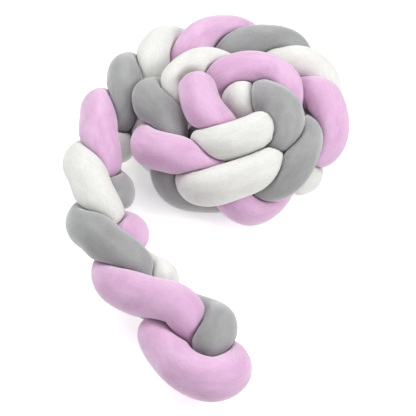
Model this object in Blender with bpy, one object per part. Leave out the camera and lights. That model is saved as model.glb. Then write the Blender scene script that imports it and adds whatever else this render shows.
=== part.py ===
"""Braided crib bumper: three stuffed velvet tubes in one plait, wound into a rosette.

The plait stands on its edge and its middle line follows a route over the floor: a free tail, a
little over one outer turn and a raised inner turn. One unit of the route is one crossing of the
upper edge, so the pink, grey and white tubes come over that edge in turn. The pink tube's two
ends are laid by hand: a loop round the free end, and a crown in the middle of the rosette. Each
tube is a loft of rings around its own line, pressed flat where it meets a tube or the floor.
Lengths are in metres, except in the tables, which are in millimetres and degrees. +Z is up.
"""
import math

import bpy
import numpy as np
from mathutils import bvhtree

MM = 0.001
COLLECTION = "crib_bumper"

# The stuffed tube
TUBE_RADIUS = 0.031            # of a tube that nothing presses
FEW_MM = 0.004                 # least distance from a tube's line to its skin
FLOOR_SEAT = 0.024             # height of a line whose tube is pressed on the floor
LINE_GAP = 0.034               # least distance between the lines of two tubes
SKIN_GAP = 0.0003              # kept free between two skins
PRESSED_GAP = 0.0006           # aimed at between pressed skins, before any trimming
BEND_SHARE = 0.82              # skin's reach inside a bend, as a share of the bend's radius
ROUNDNESS = 8                  # how sharply a pressed face turns into the round skin

# The loft
RING_STEP = 0.018
RING_SIDES = 14
END_RINGS = 3
LINE_STEP = 0.012
NEIGHBOUR_STEP = 0.006
SAMPLES_PER_CROSSING = 40

# The plait, with its tubes in their order over the upper edge
STRANDS = 3
PINK, GREY, WHITE = range(STRANDS)
SECOND_WAVE = 0.24             # share of the double wave in a tube's swing
CROSSING_SHARE = math.sin(math.pi / STRANDS) * (1 + SECOND_WAVE)
OWN_REACH = 2.6 * TUBE_RADIUS  # length along a tube that never presses on itself
SOFTEN_ROUNDS = 2
SETTLE_ROUNDS = 25
SETTLE_SHARE = 0.45
SETTLE_HOLD = 0.995
TRIM_ROUNDS = 60
TRIM_STEP = 0.0004

# Where the route's own zero lies, seen from the middle of the footprint
ROUTE_X, ROUTE_Y = 0.00059, 0.01708

# One row for each crossing of the upper edge, from the free end to the middle of the rosette:
# place of the crest, its height, the plait's lean outward, the half height between the upper
# and lower tubes, and the half distance between the tubes on its two faces.
ROUTE_COLUMNS = ("x", "y", "height", "lean", "reach", "swing")
FIRST_CROSSING = -2
ROUTE = (
    (0, -400, 45, 60, 30, 18),
    (-36, -320, 62, 58, 30, 19),
    (-100, -222, 66, 50, 27, 18),
    (-160, -120, 70, 40, 27, 15),
    (-180, -20, 77, 23, 26, 10),
    (-176, 105, 84, 14, 27, 7),
    (-137, 195, 91, 15, 32, 18),
    (-84, 268, 94, 12, 34, 24),
    (-5, 308, 94, 12, 34, 25),
    (85, 297, 94, 12, 34, 25),
    (145, 245, 94, 12, 34, 24),
    (187, 150, 90, 18, 32, 21),
    (136, 42, 90, 18, 32, 20),
    (55, -18, 91, 18, 34, 20),
    (-53, 22, 96, 15, 35, 20),
    (-86, 112, 106, 8, 35, 18),
    (-42, 177, 114, 0, 33, 18),
    (75, 188, 116, 0, 24, 20),
    (118, 98, 116, 0, 22, 16),
    (57, 26, 118, 0, 30, 14),
    (-8, 92, 138, 0, 32, 3),
    (-14, 215, 146, 0, 35, 3),
)

# The tubes in their order over the edge, with the stretch of the route that each one covers
TUBE_COLUMNS = ("name", "first", "last", "colour")
TUBES = (
    ("strand_pink", -0.66, 16.95, (0.78, 0.47, 0.70)),
    ("strand_grey", -1.30, 18.10, (0.39, 0.38, 0.385)),
    ("strand_white", 0.02, 18.00, (0.87, 0.85, 0.81)),
)

# The pink tube's end loops over the other two ends: places along it, from its tucked-in tip
HAND_COLUMNS = ("x", "y", "height")
PINK_LOOP = (
    (-58, -228, 24),
    (-68, -272, 32),
    (-42, -330, 46),
    (2, -369, 56),
    (25, -355, 50),
    (30, -334, 38),
    (16, -303, 24),
    (-4, -284, 26),
)

# Its other end comes up in the middle of the rosette: places along it, up to its tip
PINK_CROWN = (
    (26, 52, 66),
    (18, 52, 90),
    (3, 59, 118),
    (-11, 80, 137),
    (-15, 108, 139),
    (-22, 156, 133),
)

# Where a tube is pulled out of the even plait: which tube, at which crossing of the route, how
# far in millimetres, and over how many crossings
TUG_COLUMNS = ("tube", "crossing", "x", "y", "height", "spread")
TUGS = (
    (GREY, -0.50, 28, -8, 0, 0.27),
    (GREY, -0.10, 0, -4, 0, 0.28),
    (PINK, -0.40, 17, -3, 4, 0.35),
    (PINK, 0.05, 0, -6, -2, 0.40),
    (PINK, 0.50, 0, 2, 5, 0.30),
    (WHITE, 0.50, 12, -20, 0, 0.40),
    (GREY, 0.60, -8, -3, -14, 0.28),
    (WHITE, 0.90, 6, 4, 0, 0.35),
    (GREY, 1.20, 11, 0, 0, 0.35),
    (WHITE, 1.50, -8, -12, 0, 0.35),
    (PINK, 1.50, 5, 0, 0, 0.30),
    (PINK, 1.95, 14, 0, 0, 0.30),
    (WHITE, 2.05, 5, 0, 0, 0.35),
    (WHITE, 2.42, 6, 0, 0, 0.30),
    (PINK, 2.50, -6, 0, 0, 0.35),
    (GREY, 2.50, -5, 0, 0, 0.30),
    (GREY, 2.90, 8, 0, 0, 0.35),
    (PINK, 3.10, 8, 0, 0, 0.35),
    (WHITE, 3.50, 0, -18, 0, 0.35),
    (GREY, 3.55, 3, -22, 0, 0.35),
    (GREY, 4.15, 4, 0, 0, 0.35),
    (PINK, 5.35, -6, -8, 4, 0.35),
    (WHITE, 5.50, 0, 8, -6, 0.35),
    (GREY, 6.10, 8, 2, 0, 0.35),
    (PINK, 6.60, 18, 4, 0, 0.40),
    (GREY, 7.00, 0, -6, 0, 0.40),
    (WHITE, 7.55, 26, -16, -10, 0.40),
    (GREY, 7.60, 14, 2, 2, 0.35),
    (PINK, 8.55, 8, -9, -22, 0.25),
    (GREY, 9.50, 0, -8, -16, 0.25),
    (PINK, 10.35, 20, -6, 0, 0.50),
    (GREY, 10.50, -3, 20, 13, 0.35),
    (WHITE, 9.50, 5, -3, 0, 0.40),
    (WHITE, 10.70, 23, 6, 0, 0.35),
    (PINK, 11.10, 0, -4, 0, 0.30),
    (GREY, 11.75, 8, -2, 0, 0.45),
    (WHITE, 4.60, -6, -4, 0, 0.30),
    (GREY, 12.80, 4, 12, 0, 0.30),
    (PINK, 14.40, 0, 14, 0, 0.35),
    (WHITE, 15.15, -14, -38, 38, 0.32),
    (PINK, 15.50, -8, 0, 0, 0.40),
    (GREY, 15.50, 3, -14, -6, 0.40),
    (GREY, 16.20, -4, 0, 0, 0.40),
    (WHITE, 16.40, -4, -14, -4, 0.30),
    (WHITE, 16.70, 17, -9, 0, 0.32),
    (WHITE, 16.95, 8, 8, 3, 0.25),
    (WHITE, 17.90, 2, -22, -4, 0.35),
)


def column(table, columns, name):
    """One named column of a table, as numbers."""
    place = columns.index(name)
    return np.array([row[place] for row in table], dtype=float)


def spline(rows, at, first=0.0):
    """A smooth curve through the rows, which stand one unit apart from `first` on."""
    rows = np.asarray(rows, dtype=float)
    last = len(rows) - 1
    padded = np.vstack([2 * rows[0] - rows[1], rows, 2 * rows[-1] - rows[-2]])
    along = np.clip(np.asarray(at, dtype=float) - first, 0.0, last - 1e-9)
    start = np.floor(along).astype(int)
    t = (along - start)[:, None]
    p0, p1, p2, p3 = (padded[start + k] for k in range(4))
    linear = (p2 - p0) * t
    square = (2 * p0 - 5 * p1 + 4 * p2 - p3) * t ** 2
    cube = (3 * p1 - p0 - 3 * p2 + p3) * t ** 3
    return 0.5 * (2 * p1 + linear + square + cube)


def route_rows():
    """The route's table in metres and radians."""
    scales = {"lean": math.radians(1.0)}
    columns = [column(ROUTE, ROUTE_COLUMNS, name) * scales.get(name, MM) for name in ROUTE_COLUMNS]
    rows = np.stack(columns, axis=1)
    rows[:, 0] += ROUTE_X
    rows[:, 1] += ROUTE_Y
    return rows


def plait_frame(at):
    """Middle of the plait, its direction to the upper edge and to the outer face."""
    rows = route_rows()
    here = spline(rows, at, FIRST_CROSSING)
    nudge = 1e-3
    ahead = spline(rows, at + nudge, FIRST_CROSSING)
    behind = spline(rows, at - nudge, FIRST_CROSSING)
    travel = (ahead - behind)[:, :2]
    travel /= np.linalg.norm(travel, axis=1, keepdims=True)
    outward = np.stack([-travel[:, 1], travel[:, 0], np.zeros(len(travel))], axis=1)
    upward = np.array([0.0, 0.0, 1.0])
    lean = here[:, 3:4]
    to_edge = np.cos(lean) * upward + np.sin(lean) * outward
    to_face = np.cos(lean) * outward - np.sin(lean) * upward
    middle = here[:, :3] - here[:, 4:5] * to_edge
    return middle, to_edge, to_face, here[:, 4:5], here[:, 5:6]


def tugged(line, at, order):
    """The line with the pulls on that tube added."""
    for tube, crossing, x, y, height, spread in TUGS:
        if tube == order:
            share = np.exp(-((at - crossing) / spread) ** 2)
            line = line + share[:, None] * np.array([x, y, height]) * MM
    return line


def plaited_line(order, first, last):
    """Line of the tube that comes over the upper edge at crossing `order`."""
    count = int((last - first) * SAMPLES_PER_CROSSING) + 1
    at = np.linspace(first, last, count)
    turn = (2 * math.pi * (at - order) / STRANDS)[:, None]
    middle, to_edge, to_face, reach, swing = plait_frame(at)
    across = np.sin(2 * turn) - SECOND_WAVE * np.sin(4 * turn)
    line = middle + reach * np.cos(turn) * to_edge + swing / CROSSING_SHARE * across * to_face
    return tugged(line, at, order)


def hand_laid(table):
    """Places of a hand-laid end, in metres."""
    places = np.stack([column(table, HAND_COLUMNS, name) for name in HAND_COLUMNS], axis=1)
    return places * MM + np.array([ROUTE_X, ROUTE_Y, 0.0])


def joined(places, line):
    """A line that runs through the hand-laid places and then along the plaited stretch."""
    lead = SAMPLES_PER_CROSSING // 5
    through = np.vstack([places, line[0], line[lead]])
    pieces = len(through) - 2
    at = np.linspace(0.0, pieces, pieces * SAMPLES_PER_CROSSING + 1)
    return np.vstack([spline(through, at), line[1:]])


def lengths_from_start(line):
    """Length along the line up to each of its points."""
    steps = np.linalg.norm(np.diff(line, axis=0), axis=1)
    return np.concatenate([[0.0], np.cumsum(steps)])


def points_along(line, wanted):
    """Points of the line at the wanted lengths from its start."""
    along = lengths_from_start(line)
    return np.stack([np.interp(wanted, along, line[:, axis]) for axis in range(3)], axis=1)


def even_steps(line, step):
    """The line with its points an even step apart."""
    length = lengths_from_start(line)[-1]
    count = max(2, int(round(length / step)) + 1)
    return points_along(line, np.linspace(0.0, length, count))


def smoothed(values, sizes):
    """Each row moved halfway to the middle of its neighbours on the same tube."""
    result = []
    start = 0
    for size in sizes:
        part = values[start:start + size]
        padded = np.vstack([part[:1], part, part[-1:]])
        result.append(0.25 * padded[:-2] + 0.5 * padded[1:-1] + 0.25 * padded[2:])
        start += size
    return np.vstack(result)


def settled(lines):
    """The lines, moved apart where tubes would lie closer than they can be pressed."""
    even = [even_steps(line, LINE_STEP) for line in lines]
    sizes = [len(line) for line in even]
    rest = np.vstack(even)
    for _ in range(SOFTEN_ROUNDS):
        rest = smoothed(rest, sizes)
    tube = np.repeat(np.arange(len(even)), sizes)
    place = np.concatenate([np.arange(size) for size in sizes])
    same = tube[:, None] == tube[None]
    close_by = np.abs(place[:, None] - place[None]) * LINE_STEP < 1.9 * LINE_GAP
    own = same & close_by
    moved = np.zeros_like(rest)
    for _ in range(SETTLE_ROUNDS):
        points = rest + moved
        apart = points[:, None] - points[None]
        distance = np.linalg.norm(apart, axis=2) + 1e-9
        short = np.where(own, 0.0, np.clip(LINE_GAP - distance, 0.0, None))
        pressing = (short > 0).sum(axis=1, keepdims=True) + 1
        push = (apart * (short / distance)[..., None]).sum(axis=1) / pressing
        moved = moved + SETTLE_SHARE * push
        moved[:, 2] += np.clip(FLOOR_SEAT - (rest + moved)[:, 2], 0.0, None)
        moved = smoothed(moved, sizes) * SETTLE_HOLD
    bounds = np.cumsum([0] + sizes)
    settled_points = rest + moved
    return [settled_points[a:b] for a, b in zip(bounds[:-1], bounds[1:])]


def ring_places(length):
    """Lengths along a tube at which its rings stand, and the radius there."""
    angles = np.linspace(0.0, math.pi / 2, END_RINGS + 2)[1:-1]
    end_places = TUBE_RADIUS * (1 - np.cos(angles))
    end_radii = TUBE_RADIUS * np.sin(angles)
    straight = length - 2 * TUBE_RADIUS
    count = int(round(straight / RING_STEP)) + 1
    middle_places = TUBE_RADIUS + np.linspace(0.0, straight, count)
    middle_radii = np.full(count, TUBE_RADIUS)
    places = np.concatenate([end_places, middle_places, length - end_places[::-1]])
    radii = np.concatenate([end_radii, middle_radii, end_radii[::-1]])
    return places, radii


def ring_directions(line, places, length):
    """Directions from each ring's centre to its corners, and the bend there."""
    reach = 0.25 * RING_STEP
    before = points_along(line, np.clip(places - reach, 0.0, length))
    after = points_along(line, np.clip(places + reach, 0.0, length))
    tangents = after - before
    tangents /= np.linalg.norm(tangents, axis=1, keepdims=True)
    across = np.cross(tangents[0], (0.0, 0.0, 1.0))
    sideways = [across / np.linalg.norm(across)]
    for tangent in tangents[1:]:
        carried = sideways[-1] - tangent * (sideways[-1] @ tangent)
        sideways.append(carried / np.linalg.norm(carried))
    sideways = np.array(sideways)
    upward = np.cross(tangents, sideways)
    angles = np.linspace(0.0, 2 * math.pi, RING_SIDES, endpoint=False)
    directions = np.cos(angles)[None, :, None] * sideways[:, None]
    directions = directions + np.sin(angles)[None, :, None] * upward[:, None]
    bend = np.gradient(tangents, places, axis=0)
    return directions, bend


def blended(first, second):
    """Smooth minimum of two reaches."""
    return (first ** -ROUNDNESS + second ** -ROUNDNESS) ** (-1.0 / ROUNDNESS)


def pressed_reach(centres, directions, others):
    """How far the skin can go before it meets the middle plane to another tube."""
    reach = np.full(directions.shape[:2], 1.0)
    for ring, (centre, around) in enumerate(zip(centres, directions)):
        away = others[ring] - centre
        squared = (away ** 2).sum(axis=1)
        near = squared < OWN_REACH ** 2
        facing = around @ away[near].T
        limit = np.where(facing > 1e-6, squared[near] / (2 * np.maximum(facing, 1e-6)), 1.0)
        if limit.shape[1]:
            reach[ring] = np.minimum(reach[ring], limit.min(axis=1))
    return np.maximum(reach - PRESSED_GAP / 2, FEW_MM)


def lofted_rings(lines, which):
    """Ring centres, directions and reaches of one tube among its neighbours."""
    line = even_steps(lines[which], NEIGHBOUR_STEP)
    own_places = lengths_from_start(line)
    length = own_places[-1]
    rest = np.vstack([even_steps(other, NEIGHBOUR_STEP)
                      for number, other in enumerate(lines) if number != which])
    places, radii = ring_places(length)
    centres = points_along(line, places)
    directions, bend = ring_directions(line, places, length)
    others = [np.vstack([rest, line[np.abs(own_places - place) > OWN_REACH]]) for place in places]
    reach = blended(radii[:, None], pressed_reach(centres, directions, others))
    inward = np.maximum((directions * bend[:, None]).sum(axis=2), 1e-6)
    reach = blended(reach, np.maximum(BEND_SHARE / inward, FEW_MM))
    downward = np.maximum(-directions[..., 2], 1e-6)
    reach = np.minimum(reach, np.maximum(centres[:, 2:3] / downward, FEW_MM))
    tips = (line[0], line[-1])
    return {"centres": centres, "directions": directions, "reach": reach, "tips": tips}


def tube_points(tube, outset=0.0):
    """All corners of a tube's mesh: its rings in order, then its two tips."""
    corners = tube["centres"][:, None] + tube["directions"] * (tube["reach"] + outset)[..., None]
    return np.vstack([corners.reshape(-1, 3), np.array(tube["tips"])])


def tube_faces(rings):
    """Triangles of a loft with that many rings, closed by a fan at each tip."""
    start, end = rings * RING_SIDES, rings * RING_SIDES + 1
    faces = []
    for side in range(RING_SIDES):
        after = (side + 1) % RING_SIDES
        faces.append((start, after, side))
        last = (rings - 1) * RING_SIDES
        faces.append((end, last + side, last + after))
        for ring in range(rings - 1):
            here, there = ring * RING_SIDES, (ring + 1) * RING_SIDES
            faces.append((here + side, here + after, there + after))
            faces.append((here + side, there + after, there + side))
    return faces


def touching_corners(first, second, same):
    """Corners of two skins whose triangles cross when each stands out by half the gap."""
    trees = []
    for tube in (first, second):
        points = tube_points(tube, SKIN_GAP / 2)
        faces = tube_faces(len(tube["centres"]))
        trees.append((faces, bvhtree.BVHTree.FromPolygons(points.tolist(), faces)))
    corners = (set(), set())
    for face_a, face_b in trees[0][1].overlap(trees[1][1]):
        corners_a, corners_b = set(trees[0][0][face_a]), set(trees[1][0][face_b])
        if same and corners_a & corners_b:
            continue
        corners[0].update(corners_a)
        corners[1].update(corners_b)
    return corners


def trim(tube, corners):
    """Draw the named corners in by one step."""
    rings = len(tube["centres"])
    named = [corner for corner in corners if corner < rings * RING_SIDES]
    if named:
        ring, side = np.divmod(np.array(sorted(named)), RING_SIDES)
        tube["reach"][ring, side] = np.maximum(tube["reach"][ring, side] - TRIM_STEP, FEW_MM / 2)


def cleared(tubes):
    """Trim the coarse skins until no two of them cross."""
    pairs = [(a, b) for a in range(len(tubes)) for b in range(a, len(tubes))]
    for _ in range(TRIM_ROUNDS):
        crossed = False
        for a, b in pairs:
            corners = touching_corners(tubes[a], tubes[b], a == b)
            if corners[0]:
                crossed = True
                trim(tubes[a], corners[0] | (corners[1] if a == b else set()))
                if a != b:
                    trim(tubes[b], corners[1])
        if not crossed:
            break
    return tubes


def velvet(name, colour):
    """Short-pile velvet in one colour."""
    material = bpy.data.materials.new(name)
    material.use_nodes = True
    shader = material.node_tree.nodes["Principled BSDF"]
    shader.inputs["Base Color"].default_value = (*colour, 1.0)
    shader.inputs["Roughness"].default_value = 0.95
    shader.inputs["Metallic"].default_value = 0.0
    material.diffuse_color = (*colour, 1.0)
    return material


def add_tube(collection, name, tube, colour):
    """One stuffed tube as an object of its own."""
    points = tube_points(tube)
    middle = (points.min(axis=0) + points.max(axis=0)) / 2
    middle[2] = 0.0
    mesh = bpy.data.meshes.new(name)
    mesh.from_pydata((points - middle).tolist(), [], tube_faces(len(tube["centres"])))
    mesh.validate()
    mesh.shade_smooth()
    mesh.materials.append(velvet(name + "_velvet", colour))
    strand = bpy.data.objects.new(name, mesh)
    strand.location = middle
    collection.objects.link(strand)


def main():
    for item in list(bpy.data.objects):
        bpy.data.objects.remove(item)
    collection = bpy.data.collections.new(COLLECTION)
    bpy.context.scene.collection.children.link(collection)
    lines = []
    for order, (_, first, last, _) in enumerate(TUBES):
        lines.append(plaited_line(order, first, last))
    lines[PINK] = joined(hand_laid(PINK_LOOP), lines[PINK])
    lines[PINK] = joined(hand_laid(PINK_CROWN)[::-1], lines[PINK][::-1])[::-1]
    lines = settled(lines)
    tubes = cleared([lofted_rings(lines, which) for which in range(len(lines))])
    for (name, _, _, colour), tube in zip(TUBES, tubes):
        add_tube(collection, name, tube, colour)


main()
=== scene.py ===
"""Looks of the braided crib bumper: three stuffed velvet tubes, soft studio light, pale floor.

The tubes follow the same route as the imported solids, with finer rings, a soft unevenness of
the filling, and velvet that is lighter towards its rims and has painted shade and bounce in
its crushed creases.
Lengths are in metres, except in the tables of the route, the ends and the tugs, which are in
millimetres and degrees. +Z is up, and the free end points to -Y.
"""

import math

import bpy
import numpy as np
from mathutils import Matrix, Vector, noise


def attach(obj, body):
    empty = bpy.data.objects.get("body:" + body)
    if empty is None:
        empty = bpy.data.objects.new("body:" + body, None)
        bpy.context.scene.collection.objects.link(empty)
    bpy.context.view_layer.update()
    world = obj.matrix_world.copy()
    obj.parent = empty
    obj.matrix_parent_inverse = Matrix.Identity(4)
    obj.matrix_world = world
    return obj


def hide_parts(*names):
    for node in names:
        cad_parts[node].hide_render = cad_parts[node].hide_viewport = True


MM = 0.001
UP = (0.0, 0.0, 1.0)
FULL_TURN = 2 * math.pi
TINY = 1e-9                    # keeps a division or a rounding on the safe side
ALMOST_ZERO = 1e-6             # a slope or a bend below which there is none

# The stuffed tube
TUBE_RADIUS = 0.031            # of a tube that nothing presses
LEAST_REACH = 0.004            # least distance from a tube's line to its skin
FAR_REACH = 1.0                # stands for a neighbour that limits nothing
FLOOR_SEAT = 0.024             # height of a line whose tube is pressed on the floor
LINE_GAP = 0.034               # least distance between the lines of two tubes
PRESSED_GAP = 0.0005           # kept free between pressed skins
BEND_SHARE = 0.82              # skin's reach inside a bend, as a share of the bend's radius
ROUNDNESS = 8                  # how sharply a pressed face turns into the round skin

# The filling's soft unevenness: size of its lumps and how far they lift the skin
LUMPS = ((0.060, 0.0007), (0.022, 0.00022))

# The loft
RING_STEP = 0.0045             # between the rings of a tube
RING_SIDES = 56                # corners of a ring
END_RINGS = 12                 # rings of a rounded end
TANGENT_REACH = 0.25 * RING_STEP
LINE_STEP = 0.012              # between the points of a line that settles
CURVE_STEP = 0.0015            # between the points of the smooth line
NEIGHBOUR_STEP = 0.004         # between the points that a neighbour's line presses with

# The plait, with its tubes in their order over the upper edge
STRANDS = 3
PINK, GREY, WHITE = range(STRANDS)
SAMPLES_PER_CROSSING = 40
JOIN_LEAD = SAMPLES_PER_CROSSING // 5   # samples over which a hand-laid end meets the plait
ROUTE_NUDGE = 0.001            # part of a crossing, to find the way that the route runs
SECOND_WAVE = 0.24             # share of the double wave in a tube's swing
CROSSING_SHARE = math.sin(math.pi / STRANDS) * (1 + SECOND_WAVE)
OWN_REACH = 2.6 * TUBE_RADIUS  # length along a tube that never presses on itself

# How the lines settle: softened first, then pushed apart a little in each round
OWN_SPAN = 1.9 * LINE_GAP      # points of one line that lie closer along it don't push
SOFTEN_ROUNDS = 2
SETTLE_ROUNDS = 25
SETTLE_SHARE = 0.45            # of the missing distance, made up in a round
SETTLE_HOLD = 0.995            # of the moves so far, kept in a round

# Where the route's own zero lies, seen from the middle of the footprint
ROUTE_ZERO = np.array([0.00059, 0.01708, 0.0])

# The velvets in the order of the tubes: name, colour of the pile, colour where it is brushed
# the other way, tint of its rim
VELVETS = (
    ("pink", (0.642, 0.382, 0.588), (0.740, 0.476, 0.692), (0.94, 0.88, 0.94)),
    ("grey", (0.284, 0.286, 0.288), (0.350, 0.352, 0.354), (0.96, 0.97, 0.98)),
    ("white", (0.725, 0.725, 0.692), (0.775, 0.775, 0.748), (1.0, 0.99, 0.97)),
)
BRUSH_SIZE = 0.022             # width of a patch brushed one way
MOTTLE_SIZE = 0.0045           # width of a spot where the pile stands uneven
TUFT_SIZE = 0.0011             # a tuft of the pile
BRUSH_DETAIL, MOTTLE_DETAIL, TUFT_DETAIL = 3.0, 4.0, 2.0
STROKE_STRETCH = 0.55          # width of a patch over its length along the tube
BRUSH_SPAN = (0.35, 0.65)      # values of the noise between which the brushing turns round
NOISE_SPAN = (0.3, 0.7)        # values between which the mottles and the tufts come and go
MOTTLE_TONES = (0.955, 1.035)  # brightness between and in the mottles
TUFT_TONES = (0.90, 1.06)      # brightness between and on the tufts
PILE_ROUGHNESS = (0.80, 0.96)  # between and in the mottles
PILE_DEPTH = 0.00035
PILE_SPECULAR = 0.2
SHEEN = 1.0
SHEEN_ROUGHNESS = 0.45
# The creases where tubes press together: the pile is crushed there, and the velvet gets
# painted shade and a painted bounce of fuller colour
CRUSH_SHADE_SPAN = (0.07, 0.27)    # lost share of the skin's reach where the painted crease shade starts, ends
CRUSH_SHADE_DEPTH = 0.48           # brightness left in the pile's colour in the painted crease shade
CRUSH_SHADE_TINT = 3.0             # how much fuller the colour is there, as painted bounce light

# Sockets of a Mix node that mixes colours, which share their names with others of the node
MIX_SHARE, MIX_FIRST, MIX_SECOND = 0, 6, 7
MIX_RESULT = 2

# The picture: the camera looks down on the plait from its free end
CAMERA_ELEVATION = math.radians(47.0)
CAMERA_DISTANCE = 2.05
PIXELS_PER_METRE = 635.0
PICTURE_SIDE = 416.0
SENSOR = 36.0

# The floor, which glows a little except under the rosette, so that the gaps there stay dark
FLOOR_SIDE = 30.0
FLOOR_DROP = 0.0004            # kept free under the plait
FLOOR_COLOUR = (0.85, 0.85, 0.85)
FLOOR_ROUGHNESS = 0.9
FLOOR_SPECULAR = 0.1
FLOOR_GLOW = 0.50
GLOW_CENTRE = (0.02, 0.155, 0.0)   # the middle of the rosette
GLOW_EDGE = (0.11, 0.17)       # distances from there between which the glow sets in

# The surround: its lower half stands for the light that a pale floor sends up
SURROUND = (1.0, 1.0, 1.0)
SKY_STRENGTH = 0.50
UNDER_STRENGTH = 1.0
HORIZON = 0.05                 # half height of the band in which one turns into the other

# The lamps: name, place, side and power in watts, each turned to the origin
LIGHTS = (
    ("key", (0.2, 0.5, 2.1), 0.8, 17.0),
    ("right", (1.7, -0.7, 1.3), 0.8, 22.0),
    ("back", (-1.5, 1.2, 1.2), 0.8, 13.0),
    ("left", (-1.4, -1.0, 1.5), 1.0, 5.0),
)

# One row for each crossing of the upper edge, from the free end to the middle of the rosette:
# place of the crest, its height, the plait's lean outward, the half height between the upper
# and lower tubes, and the half distance between the tubes on its two faces.
ROUTE_COLUMNS = ("x", "y", "height", "lean", "reach", "swing")
FIRST_CROSSING = -2
ROUTE = (
    (0, -400, 45, 60, 30, 18),
    (-36, -320, 62, 58, 30, 19),
    (-100, -222, 66, 50, 27, 18),
    (-160, -120, 70, 40, 27, 15),
    (-180, -20, 77, 23, 26, 10),
    (-176, 105, 84, 14, 27, 7),
    (-137, 195, 91, 15, 32, 18),
    (-84, 268, 94, 12, 34, 24),
    (-5, 308, 94, 12, 34, 25),
    (85, 297, 94, 12, 34, 25),
    (145, 245, 94, 12, 34, 24),
    (187, 150, 90, 18, 32, 21),
    (136, 42, 90, 18, 32, 20),
    (55, -18, 91, 18, 34, 20),
    (-53, 22, 96, 15, 35, 20),
    (-86, 112, 106, 8, 35, 18),
    (-42, 177, 114, 0, 33, 18),
    (75, 188, 116, 0, 24, 20),
    (118, 98, 116, 0, 22, 16),
    (57, 26, 118, 0, 30, 14),
    (-8, 92, 138, 0, 32, 3),
    (-14, 215, 146, 0, 35, 3),
)

# The stretch of the route that each tube covers: tube, first crossing, last crossing
STRETCHES = (
    (PINK, -0.66, 16.95),
    (GREY, -1.30, 18.10),
    (WHITE, 0.02, 18.00),
)

# The pink tube's end loops over the other two ends: places along it, from its tucked-in tip
HAND_COLUMNS = ("x", "y", "height")
PINK_LOOP = (
    (-58, -228, 24),
    (-68, -272, 32),
    (-42, -330, 46),
    (2, -369, 56),
    (25, -355, 50),
    (30, -334, 38),
    (16, -303, 24),
    (-4, -284, 26),
)

# Its other end comes up in the middle of the rosette: places along it, up to its tip
PINK_CROWN = (
    (26, 52, 66),
    (18, 52, 90),
    (3, 59, 118),
    (-11, 80, 137),
    (-15, 108, 139),
    (-22, 156, 133),
)

# Where a tube is pulled out of the even plait: tube, crossing of the route, x, y and height of
# the pull in millimetres, spread of the pull in crossings
TUGS = (
    (GREY, -0.50, 28, -8, 0, 0.27),
    (GREY, -0.10, 0, -4, 0, 0.28),
    (PINK, -0.40, 17, -3, 4, 0.35),
    (PINK, 0.05, 0, -6, -2, 0.40),
    (PINK, 0.50, 0, 2, 5, 0.30),
    (WHITE, 0.50, 12, -20, 0, 0.40),
    (GREY, 0.60, -8, -3, -14, 0.28),
    (WHITE, 0.90, 6, 4, 0, 0.35),
    (GREY, 1.20, 11, 0, 0, 0.35),
    (WHITE, 1.50, -8, -12, 0, 0.35),
    (PINK, 1.50, 5, 0, 0, 0.30),
    (PINK, 1.95, 14, 0, 0, 0.30),
    (WHITE, 2.05, 5, 0, 0, 0.35),
    (WHITE, 2.42, 6, 0, 0, 0.30),
    (PINK, 2.50, -6, 0, 0, 0.35),
    (GREY, 2.50, -5, 0, 0, 0.30),
    (GREY, 2.90, 8, 0, 0, 0.35),
    (PINK, 3.10, 8, 0, 0, 0.35),
    (WHITE, 3.50, 0, -18, 0, 0.35),
    (GREY, 3.55, 3, -22, 0, 0.35),
    (GREY, 4.15, 4, 0, 0, 0.35),
    (PINK, 5.35, -6, -8, 4, 0.35),
    (WHITE, 5.50, 0, 8, -6, 0.35),
    (GREY, 6.10, 8, 2, 0, 0.35),
    (PINK, 6.60, 18, 4, 0, 0.40),
    (GREY, 7.00, 0, -6, 0, 0.40),
    (WHITE, 7.55, 26, -16, -10, 0.40),
    (GREY, 7.60, 14, 2, 2, 0.35),
    (PINK, 8.55, 8, -9, -22, 0.25),
    (GREY, 9.50, 0, -8, -16, 0.25),
    (PINK, 10.35, 20, -6, 0, 0.50),
    (GREY, 10.50, -3, 20, 13, 0.35),
    (WHITE, 9.50, 5, -3, 0, 0.40),
    (WHITE, 10.70, 23, 6, 0, 0.35),
    (PINK, 11.10, 0, -4, 0, 0.30),
    (GREY, 11.75, 8, -2, 0, 0.45),
    (WHITE, 4.60, -6, -4, 0, 0.30),
    (GREY, 12.80, 4, 12, 0, 0.30),
    (PINK, 14.40, 0, 14, 0, 0.35),
    (WHITE, 15.15, -14, -38, 38, 0.32),
    (PINK, 15.50, -8, 0, 0, 0.40),
    (GREY, 15.50, 3, -14, -6, 0.40),
    (GREY, 16.20, -4, 0, 0, 0.40),
    (WHITE, 16.40, -4, -14, -4, 0.30),
    (WHITE, 16.70, 17, -9, 0, 0.32),
    (WHITE, 16.95, 8, 8, 3, 0.25),
    (WHITE, 17.90, 2, -22, -4, 0.35),
)


def column(table, columns, name):
    """One named column of a table, as numbers."""
    place = columns.index(name)
    return np.array([row[place] for row in table], dtype=float)


def spline(rows, at, first=0.0):
    """Catmull-Rom curve through the rows, which stand one unit apart from `first` on."""
    rows = np.asarray(rows, dtype=float)
    last = len(rows) - 1
    padded = np.vstack([2 * rows[0] - rows[1], rows, 2 * rows[-1] - rows[-2]])
    along = np.clip(np.asarray(at, dtype=float) - first, 0.0, last - TINY)
    start = np.floor(along).astype(int)
    t = (along - start)[:, None]
    p0, p1, p2, p3 = (padded[start + k] for k in range(4))
    linear = (p2 - p0) * t
    square = (2 * p0 - 5 * p1 + 4 * p2 - p3) * t ** 2
    cube = (3 * p1 - p0 - 3 * p2 + p3) * t ** 3
    return 0.5 * (2 * p1 + linear + square + cube)


def route_rows():
    """The route's table in metres and radians."""
    scales = {"lean": math.radians(1.0)}
    rows = np.stack([column(ROUTE, ROUTE_COLUMNS, name) * scales.get(name, MM)
                     for name in ROUTE_COLUMNS], axis=1)
    rows[:, :3] += ROUTE_ZERO
    return rows


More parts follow.
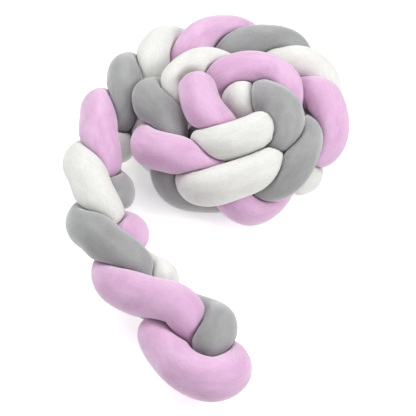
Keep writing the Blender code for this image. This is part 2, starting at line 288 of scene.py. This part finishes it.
def plait_frame(at):
    """Middle of the plait, its directions to the upper edge and to the outer face, and how far
    its tubes reach along each."""
    rows = route_rows()
    here = spline(rows, at, FIRST_CROSSING)
    ahead = spline(rows, at + ROUTE_NUDGE, FIRST_CROSSING)
    behind = spline(rows, at - ROUTE_NUDGE, FIRST_CROSSING)
    travel = (ahead - behind)[:, :2]
    travel /= np.linalg.norm(travel, axis=1, keepdims=True)
    outward = np.stack([-travel[:, 1], travel[:, 0], np.zeros(len(travel))], axis=1)
    upward = np.array(UP)
    lean, reach, swing = (here[:, ROUTE_COLUMNS.index(name), None]
                          for name in ("lean", "reach", "swing"))
    to_edge = np.cos(lean) * upward + np.sin(lean) * outward
    to_face = np.cos(lean) * outward - np.sin(lean) * upward
    middle = here[:, :3] - reach * to_edge
    return middle, to_edge, to_face, reach, swing


def tugged(line, at, order):
    """The line with the pulls on that tube added."""
    for tube, crossing, x, y, height, spread in TUGS:
        if tube == order:
            share = np.exp(-((at - crossing) / spread) ** 2)
            line = line + share[:, None] * np.array([x, y, height]) * MM
    return line


def plaited_line(order, first, last):
    """Line of the tube that comes over the upper edge at crossing `order`."""
    count = int((last - first) * SAMPLES_PER_CROSSING) + 1
    at = np.linspace(first, last, count)
    turn = (FULL_TURN * (at - order) / STRANDS)[:, None]
    middle, to_edge, to_face, reach, swing = plait_frame(at)
    across = np.sin(2 * turn) - SECOND_WAVE * np.sin(4 * turn)
    line = middle + reach * np.cos(turn) * to_edge + swing / CROSSING_SHARE * across * to_face
    return tugged(line, at, order)


def hand_laid(table):
    """Places of a hand-laid end, in metres."""
    places = np.stack([column(table, HAND_COLUMNS, name) for name in HAND_COLUMNS], axis=1)
    return places * MM + ROUTE_ZERO


def joined(places, line):
    """A line that runs through the hand-laid places and then along the plaited stretch."""
    through = np.vstack([places, line[0], line[JOIN_LEAD]])
    pieces = len(through) - 2
    at = np.linspace(0.0, pieces, pieces * SAMPLES_PER_CROSSING + 1)
    return np.vstack([spline(through, at), line[1:]])


def lengths_from_start(line):
    """Length along the line up to each of its points."""
    steps = np.linalg.norm(np.diff(line, axis=0), axis=1)
    return np.concatenate([[0.0], np.cumsum(steps)])


def points_along(line, wanted):
    """Points of the line at the wanted lengths from its start."""
    along = lengths_from_start(line)
    return np.stack([np.interp(wanted, along, line[:, axis]) for axis in range(3)], axis=1)


def even_steps(line, step):
    """The line with its points an even step apart."""
    length = lengths_from_start(line)[-1]
    count = max(2, int(round(length / step)) + 1)
    return points_along(line, np.linspace(0.0, length, count))


def smoothed(values, sizes):
    """Each row moved halfway to the middle of its neighbours on the same tube."""
    result = []
    start = 0
    for size in sizes:
        part = values[start:start + size]
        padded = np.vstack([part[:1], part, part[-1:]])
        result.append(0.25 * padded[:-2] + 0.5 * padded[1:-1] + 0.25 * padded[2:])
        start += size
    return np.vstack(result)


def settled(lines):
    """The lines, moved apart where tubes would lie closer than they can be pressed."""
    even = [even_steps(line, LINE_STEP) for line in lines]
    sizes = [len(line) for line in even]
    rest = np.vstack(even)
    for _ in range(SOFTEN_ROUNDS):
        rest = smoothed(rest, sizes)
    tube = np.repeat(np.arange(len(even)), sizes)
    place = np.concatenate([np.arange(size) for size in sizes])
    same = tube[:, None] == tube[None]
    close_by = np.abs(place[:, None] - place[None]) * LINE_STEP < OWN_SPAN
    own = same & close_by
    moved = np.zeros_like(rest)
    for _ in range(SETTLE_ROUNDS):
        points = rest + moved
        apart = points[:, None] - points[None]
        distance = np.linalg.norm(apart, axis=2) + TINY
        short = np.where(own, 0.0, np.clip(LINE_GAP - distance, 0.0, None))
        pressing = (short > 0).sum(axis=1, keepdims=True) + 1
        push = (apart * (short / distance)[..., None]).sum(axis=1) / pressing
        moved = moved + SETTLE_SHARE * push
        moved[:, 2] += np.clip(FLOOR_SEAT - (rest + moved)[:, 2], 0.0, None)
        moved = smoothed(moved, sizes) * SETTLE_HOLD
    bounds = np.cumsum([0] + sizes)
    settled_points = rest + moved
    return [settled_points[a:b] for a, b in zip(bounds[:-1], bounds[1:])]


def smooth_line(line):
    """A smooth curve through the points of a line, in small steps."""
    last = len(line) - 1
    return spline(line, np.linspace(0.0, last, int(last * LINE_STEP / CURVE_STEP) + 1))


def plait_lines():
    """The three tubes' lines, laid, settled and smoothed."""
    lines = [plaited_line(tube, first, last) for tube, first, last in STRETCHES]
    lines[PINK] = joined(hand_laid(PINK_LOOP), lines[PINK])
    lines[PINK] = joined(hand_laid(PINK_CROWN)[::-1], lines[PINK][::-1])[::-1]
    return [smooth_line(line) for line in settled(lines)]


def ring_places(length):
    """Lengths along a tube at which its rings stand, and the radius there."""
    angles = np.linspace(0.0, math.pi / 2, END_RINGS + 2)[1:-1]
    end_places = TUBE_RADIUS * (1 - np.cos(angles))
    end_radii = TUBE_RADIUS * np.sin(angles)
    straight = length - 2 * TUBE_RADIUS
    count = int(round(straight / RING_STEP)) + 1
    middle_places = TUBE_RADIUS + np.linspace(0.0, straight, count)
    middle_radii = np.full(count, TUBE_RADIUS)
    places = np.concatenate([end_places, middle_places, length - end_places[::-1]])
    radii = np.concatenate([end_radii, middle_radii, end_radii[::-1]])
    return places, radii


def ring_angles():
    """Angles at which the corners of a ring stand."""
    return np.linspace(0.0, FULL_TURN, RING_SIDES, endpoint=False)


def ring_directions(line, places, length):
    """Directions from each ring's centre to its corners, and the bend there."""
    before = points_along(line, np.clip(places - TANGENT_REACH, 0.0, length))
    after = points_along(line, np.clip(places + TANGENT_REACH, 0.0, length))
    tangents = after - before
    tangents /= np.linalg.norm(tangents, axis=1, keepdims=True)
    across = np.cross(tangents[0], UP)
    sideways = [across / np.linalg.norm(across)]
    for tangent in tangents[1:]:
        carried = sideways[-1] - tangent * (sideways[-1] @ tangent)
        sideways.append(carried / np.linalg.norm(carried))
    sideways = np.array(sideways)
    upward = np.cross(tangents, sideways)
    angles = ring_angles()
    directions = np.cos(angles)[None, :, None] * sideways[:, None]
    directions = directions + np.sin(angles)[None, :, None] * upward[:, None]
    bend = np.gradient(tangents, places, axis=0)
    return directions, bend


def blended(first, second):
    """Smooth minimum of two reaches."""
    return (first ** -ROUNDNESS + second ** -ROUNDNESS) ** (-1.0 / ROUNDNESS)


def lumps(points):
    """How far the filling lifts the skin at each point."""
    lift = np.zeros(len(points))
    for size, height in LUMPS:
        lift += height * np.array([noise.noise(Vector(point / size)) for point in points])
    return lift


def pressed_reach(centres, directions, others):
    """How far the skin can go before it meets the middle plane to another tube."""
    reach = np.full(directions.shape[:2], FAR_REACH)
    for ring, (centre, around) in enumerate(zip(centres, directions)):
        away = others[ring] - centre
        squared = (away ** 2).sum(axis=1)
        near = squared < OWN_REACH ** 2
        facing = around @ away[near].T
        halfway = squared[near] / (2 * np.maximum(facing, ALMOST_ZERO))
        limit = np.where(facing > ALMOST_ZERO, halfway, FAR_REACH)
        if limit.shape[1]:
            reach[ring] = np.minimum(reach[ring], limit.min(axis=1))
    return np.maximum(reach - PRESSED_GAP / 2, LEAST_REACH)


def neighbours(line, other_lines, places):
    """For each ring of a tube, the points of all lines that can press on it."""
    own = even_steps(line, NEIGHBOUR_STEP)
    own_places = lengths_from_start(own)
    rest = np.vstack([even_steps(other, NEIGHBOUR_STEP) for other in other_lines])
    return [np.vstack([rest, own[np.abs(own_places - place) > OWN_REACH]]) for place in places]


def coordinates_on_tube(places, length):
    """Where each corner lies on the tube: length along it, then place on a round section."""
    angles = ring_angles()
    section = TUBE_RADIUS * np.stack([np.cos(angles), np.sin(angles)], axis=1)
    along = np.repeat(places, RING_SIDES)[:, None]
    around = np.tile(section, (len(places), 1))
    return np.vstack([np.hstack([along, around]), [0.0, 0.0, 0.0], [length, 0.0, 0.0]])


def lofted_tube(lines, which):
    """One tube among its neighbours: its corners and faces, the share of its free reach that
    each corner has lost to what presses on it, and where each corner lies on the tube."""
    line = even_steps(lines[which], CURVE_STEP)
    length = lengths_from_start(line)[-1]
    places, radii = ring_places(length)
    centres = points_along(line, places)
    directions, bend = ring_directions(line, places, length)
    free = np.repeat(radii[:, None], RING_SIDES, axis=1)
    skin = centres[:, None] + directions * free[..., None]
    free = free + lumps(skin.reshape(-1, 3)).reshape(free.shape) * free / TUBE_RADIUS
    other_lines = [other for number, other in enumerate(lines) if number != which]
    others = neighbours(line, other_lines, places)
    reach = blended(free, pressed_reach(centres, directions, others))
    inward = np.maximum((directions * bend[:, None]).sum(axis=2), ALMOST_ZERO)
    reach = blended(reach, np.maximum(BEND_SHARE / inward, LEAST_REACH))
    downward = np.maximum(-directions[..., 2], ALMOST_ZERO)
    reach = np.minimum(reach, np.maximum(centres[:, 2:3] / downward, LEAST_REACH))
    corners = centres[:, None] + directions * reach[..., None]
    points = np.vstack([corners.reshape(-1, 3), line[0], line[-1]])
    pressed = np.append((1.0 - reach / free).ravel(), [0.0, 0.0])
    return points, tube_faces(len(places)), pressed, coordinates_on_tube(places, length)


def tube_faces(rings):
    """Faces of a loft with that many rings, closed by a fan at each tip."""
    start, end = rings * RING_SIDES, rings * RING_SIDES + 1
    last = (rings - 1) * RING_SIDES
    faces = []
    for side in range(RING_SIDES):
        after = (side + 1) % RING_SIDES
        faces.append((start, after, side))
        faces.append((end, last + side, last + after))
        for ring in range(rings - 1):
            here, there = ring * RING_SIDES, (ring + 1) * RING_SIDES
            faces.append((here + side, here + after, there + after, there + side))
    return faces


def noise_factor(tree, coordinates, size, detail):
    """A noise over the surface whose features have that size."""
    texture = tree.nodes.new("ShaderNodeTexNoise")
    texture.inputs["Scale"].default_value = 1.0 / size
    texture.inputs["Detail"].default_value = detail
    tree.links.new(coordinates, texture.inputs["Vector"])
    return texture.outputs["Fac"]


def mapped(tree, value, span, result=(0.0, 1.0)):
    """A value stretched from one span to another."""
    node = tree.nodes.new("ShaderNodeMapRange")
    for name, number in zip(("From Min", "From Max", "To Min", "To Max"), (*span, *result)):
        node.inputs[name].default_value = number
    tree.links.new(value, node.inputs["Value"])
    return node.outputs["Result"]


def mixed(tree, share, first, second, blend="MIX"):
    """Two colours mixed; each is a colour or another node's socket."""
    node = tree.nodes.new("ShaderNodeMix")
    node.data_type = "RGBA"
    node.blend_type = blend
    for number, value in ((MIX_FIRST, first), (MIX_SECOND, second)):
        if isinstance(value, tuple):
            node.inputs[number].default_value = (*value, 1.0)
        else:
            tree.links.new(value, node.inputs[number])
    if isinstance(share, float):
        node.inputs[MIX_SHARE].default_value = share
    else:
        tree.links.new(share, node.inputs[MIX_SHARE])
    return node.outputs[MIX_RESULT]


def bumped(tree, height, depth, below=None):
    """A bump of that depth, on top of another one."""
    node = tree.nodes.new("ShaderNodeBump")
    node.inputs["Distance"].default_value = depth
    tree.links.new(height, node.inputs["Height"])
    if below is not None:
        tree.links.new(below, node.inputs["Normal"])
    return node.outputs["Normal"]


def mesh_value(tree, name, output):
    """A value that the mesh holds for each of its corners."""
    node = tree.nodes.new("ShaderNodeAttribute")
    node.attribute_name = name
    return node.outputs[output]


def stroked(tree):
    """Coordinates on the tube, drawn out along it as a hand strokes the pile."""
    node = tree.nodes.new("ShaderNodeVectorMath")
    node.operation = "MULTIPLY"
    node.inputs[1].default_value = (STROKE_STRETCH, 1.0, 1.0)
    tree.links.new(mesh_value(tree, "on_tube", "Vector"), node.inputs[0])
    return node.outputs["Vector"]


def new_material(name):
    """A material, its nodes and its shader."""
    material = bpy.data.materials.new(name)
    material.use_nodes = True
    tree = material.node_tree
    return material, tree, tree.nodes["Principled BSDF"]


def crushed_and_shaded_colour(pile):
    """The darker and fuller colour where the pile is pressed flat: painted crease shade and
    painted bounce light over the crushed pile.
    """
    most = max(pile)
    return tuple(CRUSH_SHADE_DEPTH * most * (part / most) ** CRUSH_SHADE_TINT for part in pile)


def velvet(name, pile, brushed, rim):
    """Short-pile velvet: brushed patches, mottles, tufts, crushed contacts darkened with
    painted shade, and a light rim.
    """
    material, tree, shader = new_material("velvet_" + name)
    where = tree.nodes.new("ShaderNodeTexCoord").outputs["Object"]
    strokes = stroked(tree)
    patches = noise_factor(tree, strokes, BRUSH_SIZE, BRUSH_DETAIL)
    mottle = noise_factor(tree, strokes, MOTTLE_SIZE, MOTTLE_DETAIL)
    tufts = noise_factor(tree, where, TUFT_SIZE, TUFT_DETAIL)
    colour = mixed(tree, mapped(tree, patches, BRUSH_SPAN), pile, brushed)
    for noise_value, tones in ((mottle, MOTTLE_TONES), (tufts, TUFT_TONES)):
        tone = mapped(tree, noise_value, NOISE_SPAN, tones)
        colour = mixed(tree, 1.0, colour, tone, "MULTIPLY")
    # painted shade in the creases where the skin is pressed, over the crushed pile
    crush_and_shade = mapped(tree, mesh_value(tree, "pressed", "Fac"), CRUSH_SHADE_SPAN)
    colour = mixed(tree, crush_and_shade, colour, crushed_and_shaded_colour(pile))
    tree.links.new(colour, shader.inputs["Base Color"])
    roughness = mapped(tree, mottle, NOISE_SPAN, PILE_ROUGHNESS)
    tree.links.new(roughness, shader.inputs["Roughness"])
    soft = bumped(tree, mottle, PILE_DEPTH)
    tree.links.new(bumped(tree, tufts, PILE_DEPTH, soft), shader.inputs["Normal"])
    shader.inputs["Specular IOR Level"].default_value = PILE_SPECULAR
    shader.inputs["Sheen Weight"].default_value = SHEEN
    shader.inputs["Sheen Roughness"].default_value = SHEEN_ROUGHNESS
    shader.inputs["Sheen Tint"].default_value = (*rim, 1.0)
    return material


def placed(name, data):
    """A new object of the scene, for a mesh, a lamp or a camera."""
    thing = bpy.data.objects.new(name, data)
    bpy.context.scene.collection.objects.link(thing)
    return thing


def add_tube(name, lines, order, material):
    """One stuffed tube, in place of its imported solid."""
    points, faces, pressed, on_tube = lofted_tube(lines, order)
    mesh = bpy.data.meshes.new("tube_" + name)
    mesh.from_pydata(points.tolist(), [], faces)
    mesh.validate()
    mesh.shade_smooth()
    mesh.materials.append(material)
    # how far each corner is pressed in, which the velvet turns into painted crease shade
    shares = mesh.attributes.new("pressed", "FLOAT", "POINT")
    shares.data.foreach_set("value", pressed.astype(np.float32))
    places = mesh.attributes.new("on_tube", "FLOAT_VECTOR", "POINT")
    places.data.foreach_set("vector", on_tube.astype(np.float32).ravel())
    tube = placed("tube_" + name, mesh)
    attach(tube, "root")
    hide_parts("strand_" + name)


def add_floor():
    """A plain pale floor, whose glow leaves out the ground under the rosette."""
    half = FLOOR_SIDE / 2
    corners = [(-half, -half), (half, -half), (half, half), (-half, half)]
    mesh = bpy.data.meshes.new("floor")
    mesh.from_pydata([(x, y, -FLOOR_DROP) for x, y in corners], [], [(0, 1, 2, 3)])
    material, tree, shader = new_material("floor_paint")
    shader.inputs["Base Color"].default_value = (*FLOOR_COLOUR, 1.0)
    shader.inputs["Roughness"].default_value = FLOOR_ROUGHNESS
    shader.inputs["Specular IOR Level"].default_value = FLOOR_SPECULAR
    shader.inputs["Emission Color"].default_value = (*SURROUND, 1.0)
    away = tree.nodes.new("ShaderNodeVectorMath")
    away.operation = "DISTANCE"
    away.inputs[1].default_value = GLOW_CENTRE
    where = tree.nodes.new("ShaderNodeTexCoord").outputs["Object"]
    tree.links.new(where, away.inputs[0])
    glow = mapped(tree, away.outputs["Value"], GLOW_EDGE, (0.0, FLOOR_GLOW))
    tree.links.new(glow, shader.inputs["Emission Strength"])
    mesh.materials.append(material)
    floor = placed("floor", mesh)
    floor.visible_diffuse = False      # the surround lights the plait from below in its place


def add_lights():
    """Large soft lamps in a white surround that is brighter below than above."""
    world = bpy.data.worlds.new("studio")
    world.use_nodes = True
    tree = world.node_tree
    background = tree.nodes["Background"]
    background.inputs["Color"].default_value = (*SURROUND, 1.0)
    direction = tree.nodes.new("ShaderNodeTexCoord").outputs["Generated"]
    height = tree.nodes.new("ShaderNodeSeparateXYZ")
    tree.links.new(direction, height.inputs[0])
    strength = mapped(tree, height.outputs["Z"], (-HORIZON, HORIZON),
                      (UNDER_STRENGTH, SKY_STRENGTH))
    tree.links.new(strength, background.inputs["Strength"])
    bpy.context.scene.world = world
    for name, place, size, power in LIGHTS:
        lamp = bpy.data.lights.new(name, "AREA")
        lamp.size = size
        lamp.energy = power
        lamp_object = placed(name, lamp)
        lamp_object.location = place
        lamp_object.rotation_euler = (-Vector(place)).to_track_quat("-Z", "Y").to_euler()


def add_camera():
    """The photograph's view: from the free end, half above."""
    lens = bpy.data.cameras.new("camera")
    lens.sensor_width = SENSOR
    lens.lens = PIXELS_PER_METRE * CAMERA_DISTANCE / PICTURE_SIDE * SENSOR
    camera = placed("camera", lens)
    back = CAMERA_DISTANCE * math.cos(CAMERA_ELEVATION)
    above = CAMERA_DISTANCE * math.sin(CAMERA_ELEVATION)
    camera.location = ROUTE_ZERO + (0.0, -back, above)
    camera.rotation_euler = (math.pi / 2 - CAMERA_ELEVATION, 0.0, 0.0)
    bpy.context.scene.camera = camera


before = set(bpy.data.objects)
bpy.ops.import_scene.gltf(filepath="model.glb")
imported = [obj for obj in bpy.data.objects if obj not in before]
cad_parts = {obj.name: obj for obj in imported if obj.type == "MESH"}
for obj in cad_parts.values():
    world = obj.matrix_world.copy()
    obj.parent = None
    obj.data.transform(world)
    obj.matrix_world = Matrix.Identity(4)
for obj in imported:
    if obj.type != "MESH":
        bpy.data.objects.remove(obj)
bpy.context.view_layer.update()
bpy.context.scene.view_settings.view_transform = "Standard"
tube_lines = plait_lines()
for order, (name, pile, brushed, rim) in enumerate(VELVETS):
    add_tube(name, tube_lines, order, velvet(name, pile, brushed, rim))
add_floor()
add_lights()
add_camera()
